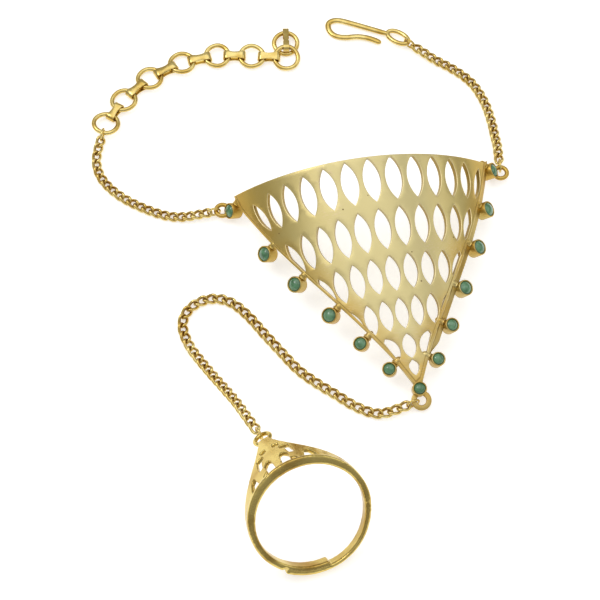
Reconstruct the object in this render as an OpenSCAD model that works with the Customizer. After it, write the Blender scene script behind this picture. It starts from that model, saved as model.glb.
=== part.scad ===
// Hand chain bracelet: an arched pierced plate for the back of the hand with thirteen
// bezel-set green stones, wrist chains with a hook and an extender of rings, and a curb
// chain to an adjustable finger ring. It lies on the floor as worn things are laid down.
// Millimetres; x to the right, y away from the viewer, z up, floor at z = 0.

/* [Hand plate] */
// Radius of the plate's bend over the back of the hand, to mid sheet
plate_radius = 25; // [20:0.5:35]
// Thickness of the plate's sheet
plate_thick = 0.8; // [0.6:0.1:1.2]
// Slope of the plate from its top edge down to its tip, in degrees
plate_tilt = 18; // [15:0.05:22]
// Turn of the plate on the floor, in degrees
plate_turn = 12.9; // [-30:0.1:30]
// Height of the plate's crest at the top edge above the floor
crest_height = 14.5; // [10:0.05:18]
// Lean of the columns of holes per column, in degrees
column_lean = 2.1; // [0:0.1:4]

/* [Stone settings] */
// Height of a bezel cup
cup_height = 2; // [1:0.1:3]
// Wall of a bezel cup
cup_wall = 0.22; // [0.15:0.01:0.5]
// Depth of the seat for the stone
seat_depth = 0.8; // [0.4:0.05:1.2]
// Radius of the peg that joins a cup to the plate
peg_radius = 0.62; // [0.4:0.02:0.9]

/* [Chains] */
// Pitch of the wrist chains' links
wrist_pitch = 1.38; // [1.2:0.05:2]
// Pitch of the ring chain's links
ring_pitch = 1.55; // [1.2:0.05:2]
// Radius of the curb links' wire
link_wire = 0.18; // [0.12:0.005:0.25]
// Radius of the end links' wire
end_wire = 0.18; // [0.15:0.01:0.3]
// Clearance between linked wires
link_gap = 0.11; // [0.08:0.01:0.2]

/* [Extender and hook] */
// Radius of an extender ring, to mid wire
extender_radius = 1.95; // [1.6:0.05:2.2]
// Radius of the extender rings' wire
extender_wire = 0.33; // [0.25:0.01:0.45]
// Width of the strip of a connector
strip_width = 1.7; // [0.8:0.05:2]
// Thickness of the strip of a connector
strip_thick = 0.2; // [0.12:0.01:0.3]
// Radius of the hook's wire
hook_wire = 0.35; // [0.25:0.01:0.5]

/* [Finger ring] */
// Inner radius of the finger ring
finger_radius = 8.5; // [7:0.05:11]
// Thickness of the ring's band and shield
ring_thick = 1.15; // [0.8:0.05:1.6]
// Width of the plain band
band_width = 2; // [1.4:0.1:4]
// Length of the ring's shield along the finger
shield_length = 10.8; // [8:0.2:14]

/* [Hidden] */
$fn = 64;
// moves the whole piece so that its box stands centred on the origin
centring = [0.07, -2.81, 0];

// rows of pointed holes: distance from the top line, spacing, hole length, bar between
// holes, half the number of spaces in the row
row_down = [6, 14.05, 21.3, 27.8, 33.1];
row_space = [3.55, 3.25, 2.9, 2.52, 2.75];
row_length = [7.15, 6.6, 5.75, 5, 3.95];
row_bar = [0.8, 0.75, 0.62, 0.48, 0.62];
row_half = [6, 5, 4, 3, 1];
// how far the two end holes of a row are moved out, and slope of the top row, which runs a
// little askew as the top edge does
row_end = [0, -0.4, -0.35, -0.15, 0];
row_askew = [0.035, 0, 0, 0, 0];
// spacing shrinks towards the sides, and the rows sag towards the tip
side_shrink = 0.0027;
row_sag = 0.0097;
gold = [0.83, 0.7, 0.4];
green = [0.3, 0.55, 0.38];

// top edge: middle and radius of its arc seen from above. It runs a little askew, so that the
// right corner sits lower on the plate than the left one.
top_arc = [-11.9, -163.7, 162];
// metal left between an opening and the plate's top edge, and its side edges
top_margin = 0.4;
side_strap = 0.5;
// narrow step outside the right edge: width, how far it lies under the plate's outer face and
// over its inner one, and its hold in the sheet
right_step = [0.9, 0.25, 0.05, 0.3];
// stones: distance across, distance down, cup radius; the two corners, then the pairs
// towards the tip, and the one at the tip
left_corner = [25.7, 4, 1.3];
right_corner = [24.5, 6.1, 1.3];
setting = [[20, 12.95, 1.35], [15.65, 19.25, 1.32], [11.1, 25.6, 1.3], [7.3, 31.2, 1.18],
           [3.85, 36.15, 1.15], [0, 40.15, 1.15]];
// plate edge on the right side, corner to tip
edge_line = [[24.9, 0.5], [23.7, 4.2], [18.6, 11.7], [14.1, 18], [9.6, 24.3], [5.9, 29.9],
             [2.9, 34.8], [0.7, 39.3]];
// eye of the plate's tip: distance down, outer radius, hole radius, thickness
tip_eye = [41.9, 1.6, 0.75, 0.5];
// place of the plate's top middle on the floor
plate_place = [10.1, 20.3];
// rim of a cup over mid sheet, the pegs' way to the plate and their reach
cup_rise = 1;
peg_turn = 54;
peg_reach = 2.7;
// how far the tip's eye lies under mid sheet
eye_drop = 0.3;
// small loops outside the corner cups: from the cup's middle to the loop's middle
left_loop_step = [-1.85, 0.3];
right_loop_step = [1.95, 0.25];
loop_radius = 1.05;
loop_wire = 0.36;

// curb links: half length and half width to mid wire, rise of the twist
wrist_link = [0.96, 0.57, 0.32];
ring_link = [1.06, 0.61, 0.32];
// end links, to mid wire, and from the end of a chain's last link to the middle of its end link
end_radius = 1;
end_step = 0.45;
// height of the wire that an end link on the floor holds
end_height = end_radius + end_wire + 0.1;
// how far the corner loops lie under the middles of the corner cups
left_loop_drop = 0.4;
right_loop_drop = 0.75;

// clearance of the stones in their seats, rise of their domes, and clearance of the
// extender's wires in the connectors
stone_gap = 0.04;
dome_rise = 0.45;
strip_gap = 0.19;

// extender rings on the floor: x, y, height over the least height that the connectors need,
// roll about the run of the extender and tip along it
extender = [[-32.1, 32.5, 0.22, 0, 7], [-29.3, 37.2, 0, -6, 0], [-25.1, 41.5, 0, -6, 0],
            [-19.8, 44.6, 0, -6, 0], [-13.9, 46, 0, 3, 0], [-8.1, 45.9, 0, 4, 0],
            [-2.3, 45.5, 0.16, 12, 0], [-2.4, 48.6, -0.23, 0, -6]];
extender_rest = extender_wire + strip_gap + strip_thick + 0.14;
// the last connector's strip is narrower, and every strip's waist is a curve of this radius
last_strip = 0.7;
waist = 2.6;

// routes of the chains between their last links, hand-placed round points: left, right and
// down to the finger ring
left_route = [[-17.2, 15, 1.04], [-19.2, 14.9, 0.7], [-22, 15.3, 0.53], [-26, 16.9, 0.53],
              [-29.7, 19.2, 0.53], [-32.3, 22, 0.53], [-33.4, 25, 0.62],
              [-33.2, 27.5, 1.1]];
right_route = [[32.5, 28.3, 1.04], [32.2, 30.3, 0.7], [31.7, 33.4, 0.53],
               [30.6, 37.3, 0.53], [28.6, 40.9, 0.53], [25.8, 43.4, 0.53],
               [22.5, 45.4, 0.7], [20.8, 46.5, 1.04]];
ring_route = [[14.3, -20.2, 1.05], [12.6, -20.5, 0.78], [10.8, -20.1, 0.55],
              [8.3, -18.9, 0.53], [5.5, -17, 0.53], [2.8, -15.2, 0.53], [-0.2, -12.8, 0.53],
              [-2.8, -9.8, 0.53], [-5.7, -6.3, 0.53], [-8.2, -3.2, 0.53], [-10.6, -1, 0.53],
              [-13, -0.1, 0.53], [-15.4, -0.4, 0.53], [-17.4, -1.7, 0.53],
              [-18.5, -3.6, 0.53], [-18.5, -5.9, 0.58], [-17.3, -9, 1], [-15.5, -12, 1.9],
              [-13.6, -15, 3.1], [-11.6, -18.1, 4.5], [-9.8, -21, 5.85], [-8.3, -23.75, 6.95]];

// hook: the wire's route from the eye round the bend to the tip, on the floor
hook_route = [[15, 50.4], [13.6, 50.9], [10.6, 52], [7.6, 53.1], [6, 53.4], [4.9, 52.9],
              [4.8, 51.8], [5.4, 50.7], [6.4, 50.1], [7.8, 49.9], [9.8, 50], [11.7, 49.6],
              [13.6, 48.7]];
// its oval eye: middle, half length and half width, turn on the floor, slope
hook_eye = [16.5, 49.6, 1];
hook_oval = [2.05, 1];
hook_turn = 36;
hook_slope = 0.11;
// rise of the hook's wire from its bend to its eye, and how much wider than its wire the
// hook is beaten
hook_rise = 0.44;
hook_flat = 0.09;

// finger ring: middle of the near rim, the run along the finger, the way to the shield
ring_place = [1.64, -41.53, 9.15];
ring_along = [-0.273, 0.74, -0.615];
ring_up = [-0.454, 0.466, 0.76];
// loop at the tip of its shield: radius to mid wire, wire radius
ring_loop = [1.27, 0.37];
// the band's inner run is open between two angles from its shield, and its outer end goes on
// over the inner one to a third angle
band_open = [110, 188, 231];
// thickness of the inner end where the outer end lies over it, clearance between them,
// thickness of the outer end at its tip, and a shade by which it is thinner at its root
tongue_thick = 0.62;
band_gap = 0.13;
band_tip = 0.72;
band_shade = 0.03;
// how much wider the ring is inside its shield than inside its band, and how far below the
// shield's tip that hollow begins to close
shield_relief = 0.45;
relief_end = 1.2;
// height and reach of the thick rim under the shield
rim_high = 0.8;
rim_out = 0.6;
// sides of the shield: half width at the tip, at the band, and radius of their hollow curve
shield_side = [0.7, 9.2, 15.4];
// leaf-shaped openings on each side of the shield's rib: distance round from the rib, and
// distance along as a share of the shield's length
shield_leaves = [
    [[0.6, 0.11], [1.9, 0.085], [2.6, 0.14], [1.75, 0.18], [1.75, 0.3], [1.1, 0.38], [0.65, 0.32]],
    [[1.3, 0.53], [1.95, 0.48], [2.15, 0.37], [2.7, 0.34], [2.75, 0.42], [2.4, 0.56], [1.4, 0.58]],
    [[3.7, 0.085], [5.2, 0.11], [5, 0.21], [4.6, 0.29], [3.9, 0.31], [3.8, 0.17]],
    [[0.5, 0.65], [1.3, 0.63], [1.4, 0.68], [0.65, 0.71]]];
// how much larger the openings are than their visible part
leaf_grow = 1.15;

function stone_at(side, i) = i > 0 ? setting[i - 1] : side < 0 ? left_corner : right_corner;
function across(k, j) = row_space[k] * (j - side_shrink * pow(j, 3));
function down(k, j) = row_down[k] + row_askew[k] * across(k, j)
    + row_sag * pow(across(k, j), 2) / 2;

// puts a child on the plate's mid surface, its z axis along the outward normal
module on_plate(u, v) {
    rotate([0, u / plate_radius * 180 / PI, 0]) translate([0, -v, plate_radius]) children();
}

// moves from the plate's own frame to its place on the floor
module place_plate() {
    translate([plate_place[0], plate_place[1], crest_height])
        rotate([plate_tilt, 0, plate_turn]) translate([0, 0, -plate_radius]) children();
}

// the same place as a point: across and down the plate, height over mid sheet
function turn_x(p, a) = [p[0], p[1] * cos(a) - p[2] * sin(a), p[1] * sin(a) + p[2] * cos(a)];
function turn_z(p, a) = [p[0] * cos(a) - p[1] * sin(a), p[0] * sin(a) + p[1] * cos(a), p[2]];
function plate_point(u, v, h) =
    let (a = u / plate_radius * 180 / PI, r = plate_radius + h)
    [plate_place[0], plate_place[1], crest_height]
    + turn_z(turn_x([r * sin(a), -v, r * cos(a) - plate_radius], plate_tilt), plate_turn);

function unit(v) = v / norm(v);

// smooth curve through points, eight steps between each two
function bend(a, b, c, d, t) =
    0.5 * (2 * b + (c - a) * t + (2 * a - 5 * b + 4 * c - d) * t * t
           + (3 * b - a - 3 * c + d) * t * t * t);
function curve(p) = let (n = len(p) - 1) concat(
    [for (i = [0 : n - 1], s = [0 : 7])
        bend(p[max(i - 1, 0)], p[i], p[i + 1], p[min(i + 2, n)], s / 8)], [p[n]]);
function lengths(p) = [for (i = 0, s = 0; i < len(p);
    s = s + (i + 1 < len(p) ? norm(p[i + 1] - p[i]) : 0), i = i + 1) s];
function point_at(p, run, s) = [for (k = [0 : 2])
    lookup(s, [for (i = [0 : len(p) - 1]) [run[i], p[i][k]]])];

// one curb link round the origin, along x: an oval of wire with a twist
link_steps = 12;
link_sides = 5;
function link_points(a, b, c, r) = [for (i = [0 : link_steps - 1])
    let (t = i * 360 / link_steps,
         way = unit([-a * sin(t), b * cos(t), 2 * c * cos(2 * t)]),
         side = [b * cos(t), a * sin(t), 0],
         out = unit(side - (side * way) * way),
         up = cross(way, out))
    for (k = [0 : link_sides - 1])
        let (f = k * 360 / link_sides)
        [a * cos(t), b * sin(t), c * sin(2 * t)] + r * (cos(f) * out + sin(f) * up)];
function tube_faces(steps, sides, closed) = [for (i = [0 : steps - (closed ? 1 : 2)])
    for (k = [0 : sides - 1])
        let (n = (i + 1) % steps, m = (k + 1) % sides)
        each [[i * sides + k, n * sides + k, i * sides + m],
              [i * sides + m, n * sides + k, n * sides + m]]];

module curb_chain(route, pitch, shape) {
    path = curve(route);
    run = lengths(path);
    total = run[len(run) - 1];
    count = round(total / pitch);
    points = link_points(shape[0], shape[1], shape[2], link_wire);
    faces = tube_faces(link_steps, link_sides, true);
    for (i = [0 : count]) {
        s = i * total / count;
        at = point_at(path, run, s);
        x = unit(point_at(path, run, s + pitch / 2) - point_at(path, run, s - pitch / 2));
        y = unit(cross([0, 0, 1], x));
        z = cross(x, y);
        multmatrix([[x[0], y[0], z[0], at[0]], [x[1], y[1], z[1], at[1]],
                    [x[2], y[2], z[2], at[2]], [0, 0, 0, 1]])
            polyhedron(points = points, faces = faces, convexity = 4);
    }
}

// plain round link standing upright on a wire, its plane towards the chain
module end_link(at, next) color(gold)
    translate(at) rotate([0, 0, heading(at, next)]) rotate([90, 0, 0])
        rotate_extrude($fn = 48) translate([end_radius, 0]) circle(r = end_wire, $fn = 20);
function heading(a, b) = atan2(b[1] - a[1], b[0] - a[0]);

// middle of the end link on the wire of an eye, and of the chain's last link in it; an eye is
// its middle, its radius to mid wire and its wire's radius
function end_at(eye, next) =
    eye[0] + (eye[1] + end_radius - end_wire - eye[2] - link_gap) * unit(next - eye[0]);
function last_at(eye, next, shape) =
    end_at(eye, next) + (end_step + shape[0]) * unit(next - eye[0]);
left_eye = [plate_point(-left_corner[0], left_corner[1], 0)
            + [left_loop_step[0], left_loop_step[1], -left_loop_drop], loop_radius, loop_wire];
right_eye = [plate_point(right_corner[0], right_corner[1], 0)
             + [right_loop_step[0], right_loop_step[1], -right_loop_drop], loop_radius, loop_wire];
extender_eye = [[extender[0][0], extender[0][1], end_height], extender_radius, extender_wire];
hook_end = [hook_eye + hook_oval[0] * [cos(hook_turn), -sin(hook_turn), hook_slope],
            0, hook_wire];
// the tip's eye is flat, so its corners need a little more room
tip_ring = [plate_point(0, tip_eye[0], -eye_drop), (tip_eye[1] + tip_eye[2]) / 2,
            (tip_eye[1] - tip_eye[2]) / 2 + 0.04];
ring_eye = [ring_place + (finger_radius + ring_thick / 2) * ring_up
            + (shield_length + 1 + ring_loop[0]) * ring_along, 0, ring_loop[1]];

left_path = concat([last_at(left_eye, left_route[0], wrist_link)], left_route,
                   [last_at(extender_eye, left_route[7], wrist_link)]);
right_path = concat([last_at(right_eye, right_route[0], wrist_link)], right_route,
                    [last_at(hook_end, right_route[7], wrist_link)]);
ring_path = concat([last_at(tip_ring, ring_route[0], ring_link)], ring_route,
                   [last_at(ring_eye, ring_route[21], ring_link)]);

module pointed_hole(length, width) {
    bow = (length * length + width * width) / (4 * width);
    linear_extrude(height = 6, center = true) intersection() {
        translate([bow - width / 2, 0]) circle(r = bow, $fn = 90);
        translate([width / 2 - bow, 0]) circle(r = bow, $fn = 90);
    }
}

// point of the edge line seen from above, moved out by a little metal to trim
function seen(q, side) = [side * (plate_radius * sin(q[0] / plate_radius * 180 / PI) + 0.4), -q[1]];
module plate_blank() {
    last = len(edge_line) - 1;
    foot = -edge_line[last][1] - 0.3;
    intersection() {
        rotate([90, 0, 0]) difference() {
            cylinder(r = plate_radius + plate_thick / 2, h = 100, center = true, $fn = 180);
            cylinder(r = plate_radius - plate_thick / 2, h = 101, center = true, $fn = 180);
        }
        linear_extrude(height = 3 * plate_radius) for (s = [-1, 1])
            polygon(concat([[0, -edge_line[0][1]]], [for (q = edge_line) seen(q, s)],
                           [[seen(edge_line[last], s)[0], foot], [0, foot]]));
        // the top edge is one shallow arc
        translate([top_arc[0], top_arc[1], 0])
            cylinder(r = top_arc[2], h = 3 * plate_radius, $fn = 360);
    }
}

// all that lies outside the right edge between two points of the edge line, from this far
// inside it
module edge_trim(a, b, inside) {
    mid = (a + b) / 2;
    run = norm(b - a);
    on_plate(mid[0], mid[1]) rotate([0, 0, atan2(b[0] - a[0], b[1] - a[1])])
        translate([-inside, -run / 2 - 0.3, -3]) cube([8, run + 0.6, 6]);
}
module edge_trims(inside) {
    for (i = [0 : len(edge_line) - 2]) {
        edge_trim(edge_line[i], edge_line[i + 1], inside);
        mirror([1, 0, 0]) edge_trim(edge_line[i], edge_line[i + 1], inside);
    }
}

// step outside the right edge, from the top edge to the last stone but one
module side_step() {
    intersection() {
        rotate([90, 0, 0]) difference() {
            cylinder(r = plate_radius + plate_thick / 2 - right_step[1], h = 100, center = true,
                     $fn = 180);
            cylinder(r = plate_radius - plate_thick / 2 + right_step[2], h = 101, center = true,
                     $fn = 180);
        }
        translate([top_arc[0], top_arc[1], 0])
            cylinder(r = top_arc[2], h = 3 * plate_radius, $fn = 360);
        for (i = [0 : len(edge_line) - 3]) {
            a = edge_line[i];
            b = edge_line[i + 1];
            mid = (a + b) / 2;
            run = norm(b - a);
            on_plate(mid[0], mid[1]) rotate([0, 0, atan2(b[0] - a[0], b[1] - a[1])])
                translate([-right_step[3], -run / 2 - 0.1, -3])
                    cube([right_step[0] + right_step[3], run + 0.2, 6]);
        }
    }
}

module plate_holes() {
    for (k = [0 : 4], j = [-row_half[k] : row_half[k]]) {
        last = abs(j) == row_half[k];
        wide = row_space[k] * (1 - 3 * side_shrink * j * j) - row_bar[k];
        lean = column_lean * j * (1 + 0.12 * k) + (last ? sign(j) * (k < 4 ? 14 : 20) : 0);
        on_plate(across(k, j) + (last ? sign(j) * row_end[k] : 0), down(k, j))
            rotate([0, 0, -lean]) pointed_hole(row_length[k] * (1 - 0.006 * j * j),
                                               last && k < 4 ? 0.8 * wide : wide);
    }
    // the last opening is a small drop
    on_plate(0, 36.6) {
        pointed_hole(2.5, 1.4);
        translate([0, 0.2, 0]) cylinder(r = 0.78, h = 6, center = true);
    }
}
// the openings end in a strap along each side edge and a margin along the top edge
module kept_holes() {
    intersection() {
        difference() {
            plate_holes();
            edge_trims(side_strap);
        }
        translate([top_arc[0], top_arc[1], 0])
            cylinder(r = top_arc[2] - top_margin, h = 3 * plate_radius, $fn = 360);
    }
}

// cup of a stone with its peg to the plate, before its seat is cut
module cup(r, toward) {
    translate([0, 0, cup_rise - cup_height]) cylinder(r = r, h = cup_height);
    rotate([0, 0, toward]) translate([0, 0, -0.15]) rotate([-90, 0, 0])
        cylinder(r = peg_radius, h = peg_reach);
}

module hand_plate() color(gold) difference() {
    union() {
        place_plate() {
            difference() {
                plate_blank();
                edge_trims(0);
                kept_holes();
            }
            side_step();
            for (s = [-1, 1], i = [0 : 5]) {
                at = stone_at(s, i);
                on_plate(s * at[0], at[1]) cup(at[2], s * peg_turn);
            }
            tip = stone_at(1, 6);
            on_plate(0, tip[1]) translate([0, 0, cup_rise - cup_height])
                cylinder(r = tip[2], h = cup_height);
            // flat eye beyond the tip, for the ring chain
            on_plate(0, tip_eye[0]) translate([0, 0, -eye_drop - tip_eye[3] / 2]) difference() {
                cylinder(r = tip_eye[1], h = tip_eye[3]);
                translate([0, 0, -1]) cylinder(r = tip_eye[2], h = 3);
            }
        }
        // loops soldered outside the corner cups, for the wrist chains
        for (eye = [left_eye, right_eye]) translate(eye[0]) rotate_extrude($fn = 48)
            translate([loop_radius, 0]) circle(r = loop_wire, $fn = 24);
    }
    // seats of the stones
    place_plate() for (s = [-1, 1], i = [0 : 6]) if (i < 6 || s > 0) {
        at = stone_at(s, i);
        on_plate(s * at[0], at[1]) translate([0, 0, cup_rise - seat_depth])
            cylinder(r = at[2] - cup_wall, h = 2 * seat_depth);
    }
}

// low domed stone in its seat
module stone(side, i) color(green) place_plate() {
    at = stone_at(side, i);
    r = at[2] - cup_wall - stone_gap;
    dome = (r * r + dome_rise * dome_rise) / (2 * dome_rise);
    on_plate(side * at[0], at[1]) translate([0, 0, cup_rise + stone_gap - seat_depth])
        rotate_extrude($fn = 48) intersection() {
            square([r, 2]);
            translate([0, seat_depth - 0.15 + dome_rise - dome]) circle(r = dome, $fn = 120);
        }
}

module left_wrist_chain() color(gold) curb_chain(left_path, wrist_pitch, wrist_link);
module right_wrist_chain() color(gold) curb_chain(right_path, wrist_pitch, wrist_link);
module finger_chain() color(gold) curb_chain(ring_path, ring_pitch, ring_link);

// extender ring on its connectors
module extender_ring(i) color(gold) {
    at = [extender[i][0], extender[i][1], extender_rest + extender[i][2]];
    way = i < 6 ? heading(extender[i], extender[i + 1]) : i == 6 ? 0 : 90;
    translate(at) rotate([0, 0, way]) rotate([extender[i][3], extender[i][4], 0])
        rotate_extrude($fn = 60)
            translate([extender_radius, 0]) circle(r = extender_wire, $fn = 24);
}

// strip bent round the wires of two rings, its waist a little narrow; its ends leave room
// for the curve of the rings
module connector(a, b, roll, width) color(gold) {
    mid = (a + b) / 2;
    gap = norm(b - a);
    rise = asin((b[2] - a[2]) / gap);
    end = gap / 2 + extender_radius - sqrt(pow(extender_radius, 2) - pow(width / 2, 2)) + 0.05;
    inner = extender_wire + strip_gap;
    translate([mid[0], mid[1], mid[2]]) rotate([0, 0, heading(a, b)]) rotate([0, -rise, 0])
            rotate([roll, 0, 0]) intersection() {
        rotate([90, 0, 0]) linear_extrude(height = width, center = true) difference() {
            union() {
                for (s = [-1, 1]) translate([s * end, 0]) circle(r = inner + strip_thick, $fn = 40);
                square([2 * end, 2 * (inner + strip_thick)], center = true);
            }
            for (s = [-1, 1]) translate([s * end, 0]) circle(r = inner, $fn = 40);
            square([2 * end, 2 * inner], center = true);
        }
        linear_extrude(height = 6, center = true) difference() {
            square([6, 3], center = true);
            for (s = [-1, 1]) translate([0, s * (0.35 * width + waist)]) circle(r = waist, $fn = 60);
        }
    }
}
// middle of a ring's wire on the side of its neighbour, ahead or behind
function rim(i, way, side) =
    [extender[i][0], extender[i][1], extender_rest + extender[i][2]]
    + side * extender_radius * [cos(extender[i][4]) * cos(way), cos(extender[i][4]) * sin(way),
                                -sin(extender[i][4])];
module ring_connector(i) {
    way = heading(extender[i], extender[i + 1]);
    // the last two rings lie across the run, one partly on the other
    if (i == 6) connector([extender[6][0], extender[6][1] + extender_radius * cos(extender[6][3]),
                           extender_rest + extender[6][2] + extender_radius * sin(extender[6][3])],
                          rim(7, 90, 1), 0, last_strip * strip_width);
    else connector(rim(i, way, 1), rim(i + 1, way, -1), (extender[i][3] + extender[i + 1][3]) / 2,
                   strip_width);
}

// round wire along a flat curve: points, half widths across and up
module wire(p, wide, high, closed) {
    sides = 12;
    n = len(p);
    points = [for (i = [0 : n - 1])
        let (before = closed ? p[(i + n - 1) % n] : p[max(i - 1, 0)],
             after = closed ? p[(i + 1) % n] : p[min(i + 1, n - 1)],
             way = unit(after - before), out = unit(cross(way, [0, 0, 1])),
             up = cross(way, out))
        for (k = [0 : sides - 1])
            p[i] + wide[i] * cos(k * 30) * out + high[i] * sin(k * 30) * up];
    ends = closed ? [] : [[for (k = [0 : sides - 1]) k],
                          [for (k = [0 : sides - 1]) n * sides - 1 - k]];
    polyhedron(points = points, faces = concat(tube_faces(n, sides, closed), ends),
               convexity = 6);
}

module hook() color(gold) {
    first = min([for (q = hook_route) q[0]]);
    path = curve([for (q = hook_route) [q[0], q[1],
        hook_wire + 0.03 + hook_rise * (q[0] - first) / (hook_eye[0] - first)]]);
    n = len(path);
    // the shank is beaten a little flat, and the tip is rounded off
    wide = [for (i = [0 : n - 1]) i > n - 3 ? hook_wire * (n - 1 - i) / 4 + 0.2
        : hook_wire - 0.05 + (0.05 + hook_flat) * min(1, i / 10)];
    high = [for (i = [0 : n - 1]) i > n - 3 ? hook_wire * (n - 1 - i) / 4 + 0.15 : hook_wire];
    wire(path, wide, high, false);
    // oval eye
    wire([for (i = [0 : 27])
              let (t = i * 360 / 28, x = hook_oval[0] * cos(t), y = hook_oval[1] * sin(t))
              hook_eye + [x * cos(hook_turn) + y * sin(hook_turn),
                          y * cos(hook_turn) - x * sin(hook_turn), hook_slope * x]],
         [for (i = [0 : 27]) hook_wire], [for (i = [0 : 27]) hook_wire], true);
}

// from the finger ring's own frame, x to the shield and z to its tip, to its place
module place_ring() {
    z = unit(ring_along);
    y = unit(cross(ring_along, ring_up));
    x = cross(y, z);
    multmatrix([[x[0], y[0], z[0], ring_place[0]], [x[1], y[1], z[1], ring_place[1]],
                [x[2], y[2], z[2], ring_place[2]], [0, 0, 0, 1]]) children();
}

// opening through the ring's shield on one side of its rib, opened out round its middle
function middle(leaf, i = 0) = i == len(leaf) ? [0, 0] : leaf[i] / len(leaf) + middle(leaf, i + 1);
module shield_hole(measured, side) {
    leaf = [for (q = measured) middle(measured) + leaf_grow * (q - middle(measured))];
    mid = (leaf[0][0] + leaf[2][0]) / 2;
    rotate([0, 0, side * mid / finger_radius * 180 / PI]) translate([finger_radius, 0, 0])
        rotate([0, 90, 0]) linear_extrude(height = 6, center = true)
            polygon([for (q = leaf) [-q[1] * shield_length, side * (q[0] - mid)]]);
}

// outline of the shield unrolled from the front, between two hollow sides
module shield_outline() {
    tip = [shield_side[0], shield_length + 0.2];
    foot = [shield_side[1], band_width];
    mid = (tip + foot) / 2;
    chord = foot - tip;
    out = sqrt(pow(shield_side[2], 2) - pow(norm(chord) / 2, 2)) * [-chord[1], chord[0]] / norm(chord);
    difference() {
        polygon([[-foot[0], 0], [foot[0], 0], foot, tip, [-tip[0], tip[1]], [-foot[0], band_width]]);
        for (s = [-1, 1]) translate([s * (mid[0] + out[0]), mid[1] + out[1]])
            circle(r = shield_side[2], $fn = 180);
    }
}

// the outer end swings out over the inner one: how far out it is at an angle, and how thick
function swing(a) = let (t = min(1, max(0, (a - band_open[0]) / (band_open[1] - band_open[0] - 8))))
    (tongue_thick + band_gap) * t * t * (3 - 2 * t);
function end_thick(a) = ring_thick - 2 * band_shade
    - (ring_thick - 2 * band_shade - band_tip) * min(1, max(0, (a - band_open[0]) / 60));
function round_at(r, a) = r * [cos(a), sin(a)];

module finger_ring() color(gold) place_ring() {
    outer = finger_radius + ring_thick;
    difference() {
        union() {
            // band with the shield standing up from it
            intersection() {
                cylinder(r = outer, h = shield_length, $fn = 120);
                union() {
                    translate([-15, -15, 0]) cube([30, 30, band_width]);
                    rotate([90, 0, 90]) linear_extrude(height = 15) shield_outline();
                }
            }
            // thick rim under the shield
            intersection() {
                translate([rim_out, 0, 0]) cylinder(r = outer - 0.1, h = rim_high, $fn = 120);
                translate([1, -15, 0]) cube([15, 30, 2]);
            }
            // loop at the shield's tip, for the chain
            translate([finger_radius + ring_thick / 2, 0, shield_length + 1]) rotate([0, 90, 0])
                rotate_extrude($fn = 48) translate([ring_loop[0], 0])
                    circle(r = ring_loop[1], $fn = 24);
        }
        translate([0, 0, -1]) cylinder(r = finger_radius, h = shield_length + 5, $fn = 120);
        translate([0, 0, band_width])
            cylinder(r = finger_radius + shield_relief,
                     h = shield_length - band_width - relief_end + 0.01, $fn = 120);
        translate([0, 0, shield_length - relief_end])
            cylinder(r1 = finger_radius + shield_relief, r2 = finger_radius + 0.1,
                     h = relief_end + 0.05, $fn = 120);
        // the band is open where its two ends pass each other, and the inner end is thinner
        translate([0, 0, -1]) rotate([0, 0, band_open[0]])
            rotate_extrude(angle = band_open[1] - band_open[0], $fn = 120)
                translate([finger_radius - 1, 0]) square([3, band_width + 2]);
        translate([0, 0, -1]) rotate([0, 0, band_open[1] - 2])
            rotate_extrude(angle = band_open[2] - band_open[1] + 5, $fn = 120)
                translate([finger_radius + tongue_thick, 0]) square([3, band_width + 2]);
        for (s = [-1, 1], leaf = shield_leaves) shield_hole(leaf, s);
    }
    // the outer end, a shade thinner than the band
    ends = [for (a = [band_open[0] - 4 : 2.5 : band_open[2]]) a];
    translate([0, 0, band_shade]) linear_extrude(height = band_width - 2 * band_shade)
        polygon(concat(
            [for (a = ends) round_at(finger_radius + band_shade + swing(a), a)],
            [for (i = [len(ends) - 1 : -1 : 0])
                round_at(finger_radius + band_shade + swing(ends[i]) + end_thick(ends[i]), ends[i])]));
}

translate(centring) {
hand_plate();
stone(1, 6);  // stone_tip
stone(-1, 0);  // stone_left_1
stone(-1, 1);  // stone_left_2
stone(-1, 2);  // stone_left_3
stone(-1, 3);  // stone_left_4
stone(-1, 4);  // stone_left_5
stone(-1, 5);  // stone_left_6
stone(1, 0);  // stone_right_1
stone(1, 1);  // stone_right_2
stone(1, 2);  // stone_right_3
stone(1, 3);  // stone_right_4
stone(1, 4);  // stone_right_5
stone(1, 5);  // stone_right_6
left_wrist_chain();
right_wrist_chain();
finger_chain();
end_link(end_at(left_eye, left_route[0]), left_route[0]);  // end_link_left
end_link(end_at(extender_eye, left_route[7]), left_route[7]);  // end_link_extender
end_link(end_at(right_eye, right_route[0]), right_route[0]);  // end_link_right
end_link(end_at(hook_end, right_route[7]), right_route[7]);  // end_link_hook
end_link(end_at(tip_ring, ring_route[0]), ring_route[0]);  // end_link_tip
end_link(end_at(ring_eye, ring_route[21]), ring_route[21]);  // end_link_ring
extender_ring(0);  // extender_ring_1
extender_ring(1);  // extender_ring_2
extender_ring(2);  // extender_ring_3
extender_ring(3);  // extender_ring_4
extender_ring(4);  // extender_ring_5
extender_ring(5);  // extender_ring_6
extender_ring(6);  // extender_ring_7
extender_ring(7);  // extender_ring_8
ring_connector(0);  // connector_1
ring_connector(1);  // connector_2
ring_connector(2);  // connector_3
ring_connector(3);  // connector_4
ring_connector(4);  // connector_5
ring_connector(5);  // connector_6
ring_connector(6);  // connector_7
hook();
finger_ring();
}
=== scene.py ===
import math
import bmesh
import bpy
import numpy as np
from mathutils import Matrix, Vector
from mathutils.geometry import delaunay_2d_cdt


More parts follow.
